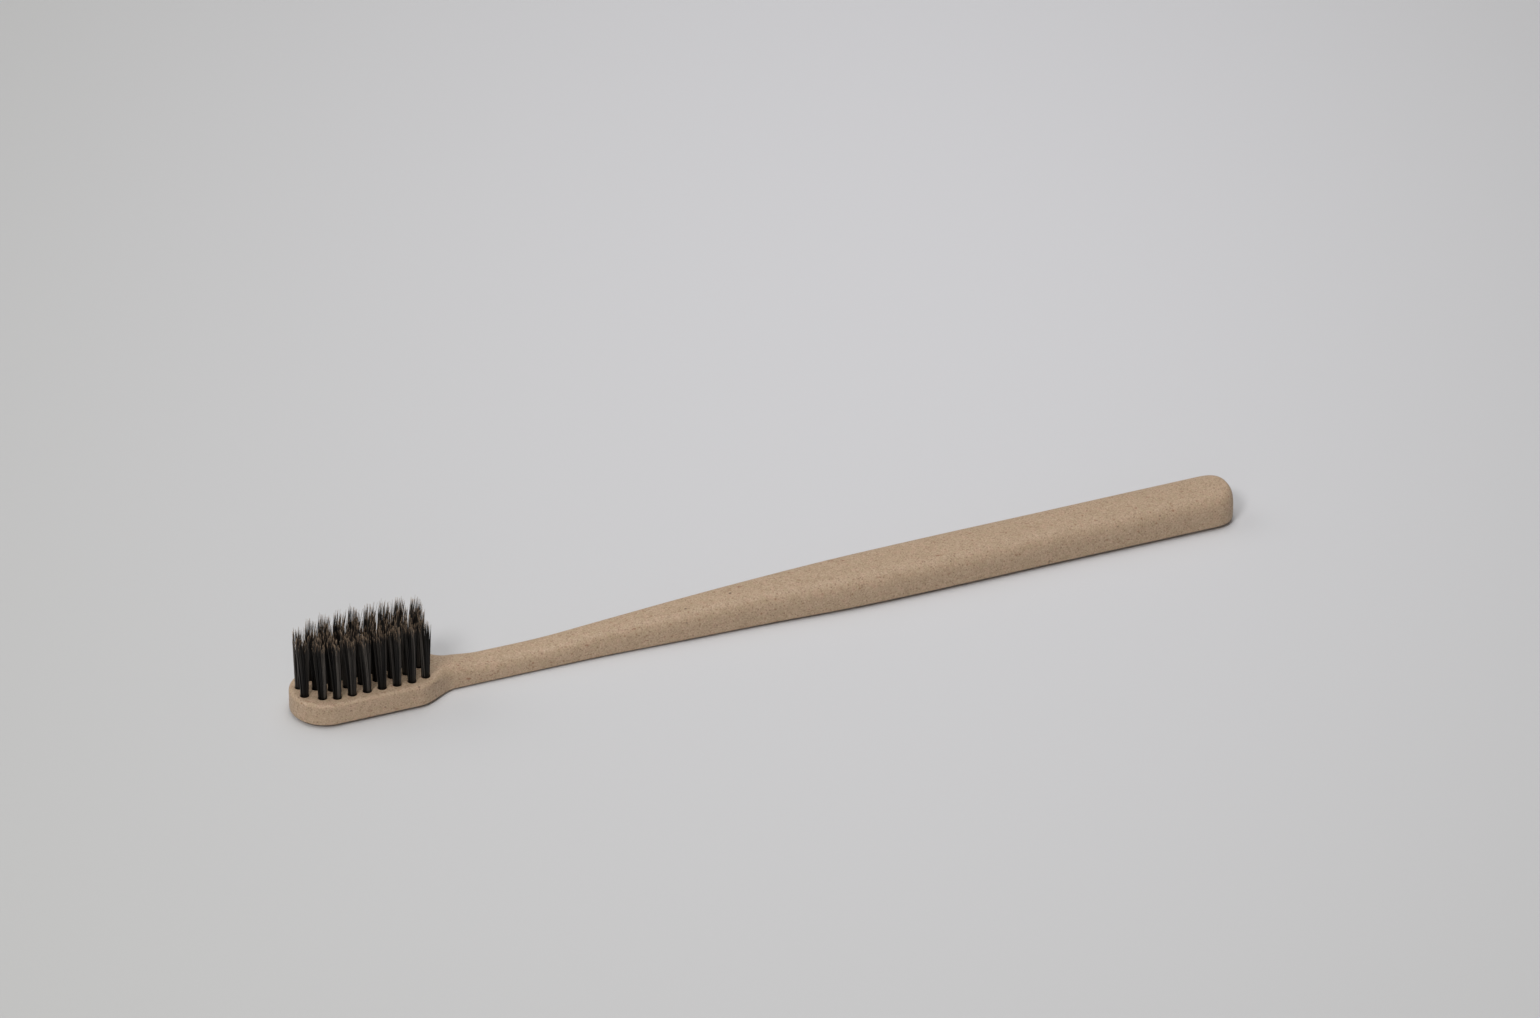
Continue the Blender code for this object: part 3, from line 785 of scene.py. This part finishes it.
# %% [markdown]
# The bristle's finish is a dark charcoal that lightens a little on its way up and turns to a
# smoky brown over the last millimetre or so, where the thin nylon lets light through. Each
# clump and each filament has a slightly different shade, and a satin roughness draws one soft
# line of light down its length. Just over the face the filaments are darkest, where they
# shade one another most.

# %% The bristle finish
charcoal = Shader("charcoal_bristle")
tip_distance = charcoal.add("ShaderNodeAttribute", attribute_name="from_tip").outputs["Fac"]
shade = charcoal.add("ShaderNodeAttribute", attribute_name="shade").outputs["Fac"]
cloud = charcoal.noise(charcoal.millimetres(stretch=(1.0, 1.0, 6.0)), 0.5, 2.0)
lightness = charcoal.between(shade, 0.15, 0.85)
upper = charcoal.between(tip_distance, 2.0, 7.5, 0.45, 0.0)
over_table = charcoal.add("ShaderNodeSeparateXYZ", {0: charcoal.millimetres()}).outputs["Z"]
face = HEAD_THICKNESS / MM
body = charcoal.blend(lightness, (0.003, 0.0026, 0.0023), (0.078, 0.069, 0.061))
layers = (
    (charcoal.between(cloud, 0.3, 0.7, 0.0, 0.2), (0.018, 0.0155, 0.0135)),
    (charcoal.calc("MULTIPLY", upper, shade), (0.098, 0.083, 0.070)),
    (charcoal.between(over_table, face, face + 0.5, 0.9, 0.0), (0.003, 0.0025, 0.002)),
)
for share, tint in layers:
    body = charcoal.blend(share, body, tint)
pale_length = charcoal.calc("MULTIPLY_ADD", shade, 0.7, 0.8)
paleness = charcoal.between(tip_distance, 0.0, pale_length, 1.0, 0.0)
tip_colour = charcoal.blend(shade, (0.18, 0.122, 0.08), (0.44, 0.32, 0.22))
charcoal.dress("Base Color", charcoal.blend(paleness, body, tip_colour))
charcoal.dress("Roughness", charcoal.between(cloud, 0.2, 0.8, 0.3, 0.42))
charcoal.dress("Specular IOR Level", 0.2)
print("bristle nodes", len(charcoal.tree.nodes))

# %% [markdown]
# One mesh is made for each tuft and takes the place of that tuft's solid.


# %% Make the 32 tufts
def make_tuft(name, paths):
    """Sweeps the filaments of one tuft into an object."""
    verts, faces, from_tip, shades, spots = sweep(paths)
    mesh = bpy.data.meshes.new(name)
    mesh.from_pydata([tuple(v) for v in verts], [], faces)
    mesh.attributes.new("from_tip", "FLOAT", "POINT").data.foreach_set("value", from_tip)
    mesh.attributes.new("shade", "FLOAT", "POINT").data.foreach_set("value", shades)
    strips = mesh.uv_layers.new(name="OFBake")
    strips.data.foreach_set("uv", np.array(spots, dtype=np.float32).ravel())
    mesh.shade_smooth()
    mesh.materials.append(charcoal.material)
    tuft = bpy.data.objects.new(name, mesh)
    bpy.context.scene.collection.objects.link(tuft)
    return tuft


chance = random.Random(11)
faces_made = 0
for index, place in enumerate(tuft_places):
    label = f"{index + 1:02d}"
    paths = tuft_paths(np.array((place.x, place.y)), place.y / ROW_PITCH, chance)
    tuft = make_tuft(f"bristle_tuft_{label}", paths)
    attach(tuft, "root")
    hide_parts(f"tuft_{label}")
    faces_made += len(tuft.data.polygons)
print("bristle faces", faces_made)

# %% [markdown]
# The anchors
#
# The wires are hidden in the head, but they are pieces of the brush and have their own
# finish: drawn brass, with fine lines along the wire and a slightly dulled surface. The
# solids are the right shape already, so they stay and only change their material. The five
# tufts nearest the tip carry the ends of their wires in their solids, so those five wires
# are made here.

# %% The anchor wires
brass = Shader("drawn_brass")
along_wire = brass.millimetres(turn=(0.0, 0.0, -WIRE_TURN), stretch=(12.0, 1.0, 1.0))
lines = brass.noise(along_wire, 0.03, 2.0, 0.6)
tarnish = brass.noise(brass.millimetres(), 0.5, 2.0)
tone = brass.blend(brass.between(lines, 0.3, 0.7), (0.62, 0.45, 0.20), (0.80, 0.62, 0.31))
dulled = brass.between(tarnish, 0.4, 0.8, 0.0, 0.4)
scratch = brass.add("ShaderNodeBump", {"Height": lines, "Strength": 0.4, "Distance": 0.004 * MM})
brass.dress("Base Color", brass.blend(dulled, tone, (0.45, 0.30, 0.14)))
brass.dress("Roughness", brass.between(tarnish, 0.2, 0.8, 0.26, 0.45))
brass.dress("Metallic", 1.0)
brass.dress("Normal", scratch.outputs[0])
kept = [node for name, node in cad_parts.items() if name.startswith("anchor_")]
for node in kept:
    node.data.materials.clear()
    node.data.materials.append(brass.material)
tip_places = tuft_places[:5]
for index, place in enumerate(tip_places):
    shape = bmesh.new()
    wire_blade(shape, place)
    wire = new_object(f"tip_wire_{index + 1:02d}", shape, brass.material, smooth=False)
    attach(wire, "root")
print("wires kept", len(kept), "and made", len(tip_places))

# %% [markdown]
# The table and the light
#
# The brush lies on a plain pale sheet. Its shadow is soft on every side and darkest in the
# line where the rounded lower edge leaves the table, so the strongest lamp is broad and
# stands overhead. A smaller one at the left front models the sides and puts the faint shadow
# beside the bristles, and three weak ones and the world fill the rest. A painted pool of
# light makes the sheet slightly paler in a long oval round the brush. This seen colour,
# painted light and all, is only what the eye sees: for the light that it throws back up onto
# the handle's sides it is an even white sheet. In the same way the room beyond it looks pale,
# in a reflection too, but sheds little light.

# %% Table, world and lamps
MIDDLE = Vector((10.89 * MM, 27.1 * MM, 3.0 * MM))
WORLD_LIGHT, WORLD_SEEN = 0.1, 0.6
SHEET_HALF_SIZE = 2.5
# The oval of painted light on the sheet: its turn, shape, centre and radius.
PAINTED_LIGHT_TURN, PAINTED_LIGHT_SHAPE = (0.0, 0.0, math.radians(23.5)), (1.0, 0.534, 1.0)
PAINTED_LIGHT_CENTRE, PAINTED_LIGHT_RADIUS = (0.0368, 0.0968, 0.0), 0.32
LAMP_DISTANCE = 1.3
# Name, azimuth and elevation in degrees, size in metres and power in watts.
LAMPS = (
    ("key_from_left_front", -50, 45, 0.35, 6.6),
    ("overhead", 0, 89, 0.9, 7.8),
    ("high_behind", 157, 70, 0.6, 1.7),
    ("back_left", -130, 42, 0.9, 2.7),
    ("low_front", -23, 18, 0.9, 1.3),
)


def seen_directly(tree):
    """1 where the eye, a reflection or clear glass meets the surface, 0 for scattered light."""
    path = tree.nodes.new("ShaderNodeLightPath").outputs
    value = path["Is Camera Ray"]
    for name in ("Is Glossy Ray", "Is Transmission Ray"):
        either = tree.nodes.new("ShaderNodeMath")
        either.operation = "MAXIMUM"
        tree.links.new(value, either.inputs[0])
        tree.links.new(path[name], either.inputs[1])
        value = either.outputs[0]
    return value


sheet = bmesh.new()
bmesh.ops.create_grid(sheet, x_segments=1, y_segments=1, size=SHEET_HALF_SIZE)
paper = Shader("pale_sheet")
# The paler oval round the brush is a painted pool of light on the sheet's seen colour.
spot = paper.place(PAINTED_LIGHT_TURN, PAINTED_LIGHT_SHAPE)
away = paper.vector("DISTANCE", {0: spot, 1: PAINTED_LIGHT_CENTRE}).outputs["Value"]
painted_light_falloff = paper.between(away, 0.0, PAINTED_LIGHT_RADIUS)
seen_colour_with_painted_light = paper.blend(painted_light_falloff, (0.644, 0.639, 0.657), (0.456, 0.455, 0.442))
paper_colour = paper.blend(seen_directly(paper.tree), (0.8, 0.8, 0.8), seen_colour_with_painted_light)
paper.dress("Base Color", paper_colour)
paper.dress("Roughness", 0.85)
paper.dress("Specular IOR Level", 0.15)
floor = new_object("pale_sheet", sheet, paper.material, smooth=False)
floor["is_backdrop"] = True

world = bpy.data.worlds.new("even_light")
world.use_nodes = True
background = world.node_tree.nodes["Background"].inputs
background["Color"].default_value = (1.0, 1.0, 1.0, 1.0)
strength = world.node_tree.nodes.new("ShaderNodeMath")
strength.operation = "MULTIPLY_ADD"
strength.inputs[1].default_value = WORLD_SEEN - WORLD_LIGHT
strength.inputs[2].default_value = WORLD_LIGHT
world.node_tree.links.new(seen_directly(world.node_tree), strength.inputs[0])
world.node_tree.links.new(strength.outputs[0], background["Strength"])
bpy.context.scene.world = world


def from_side(azimuth, elevation):
    """The direction towards a place seen from the brush, from two angles in degrees."""
    turn, rise = math.radians(azimuth), math.radians(elevation)
    level = math.cos(rise)
    return Vector((math.sin(turn) * level, -math.cos(turn) * level, math.sin(rise)))


def facing(direction):
    """The turn that makes a lamp or camera on that side look at the middle."""
    return (-direction).to_track_quat("-Z", "Y")


def softbox(name, direction, size, power):
    """A round soft lamp aimed at the middle of the brush."""
    data = bpy.data.lights.new(name, "AREA")
    data.shape, data.size, data.energy = "DISK", size, power
    made = bpy.data.objects.new(name, data)
    made.location = MIDDLE + direction * LAMP_DISTANCE
    made.rotation_euler = facing(direction).to_euler()
    made.visible_camera = False
    bpy.context.scene.collection.objects.link(made)


for name, azimuth, elevation, size, power in LAMPS:
    softbox(name, from_side(azimuth, elevation), size, power)

# %% [markdown]
# The camera
#
# The photograph was taken from in front and above with a long lens, from the head's side.
# The place, tilt and focal length below were found by matching the feet of nine tufts and
# the outline of the handle.

# %% Camera
PHOTO_WIDTH, FOCAL_LENGTH = 1540, 6000  # in pixels of the photo
SENSOR_WIDTH = 36.0
CAMERA_DISTANCE = 1.08536
back = from_side(-23.501, 31.845)
roll = Matrix.Rotation(math.radians(0.931), 3, "Z")
camera_data = bpy.data.cameras.new("camera")
camera_data.sensor_width = SENSOR_WIDTH
camera_data.lens = FOCAL_LENGTH / PHOTO_WIDTH * SENSOR_WIDTH
camera = bpy.data.objects.new("camera", camera_data)
camera.location = MIDDLE + back * CAMERA_DISTANCE
camera.rotation_euler = (facing(back).to_matrix() @ roll).to_euler()
bpy.context.scene.collection.objects.link(camera)
bpy.context.scene.camera = camera
bpy.context.scene.view_settings.view_transform = "Standard"
print("lens", round(camera_data.lens, 1), "mm")

# %% [markdown]
# The last cell prints the model's box and the finished brush's box.

# %% Print both boxes
dressed_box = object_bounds()
for name, box in (("model", model_box), ("dressed", dressed_box)):
    print(name, [round(v / MM, 3) for corner in box for v in corner])
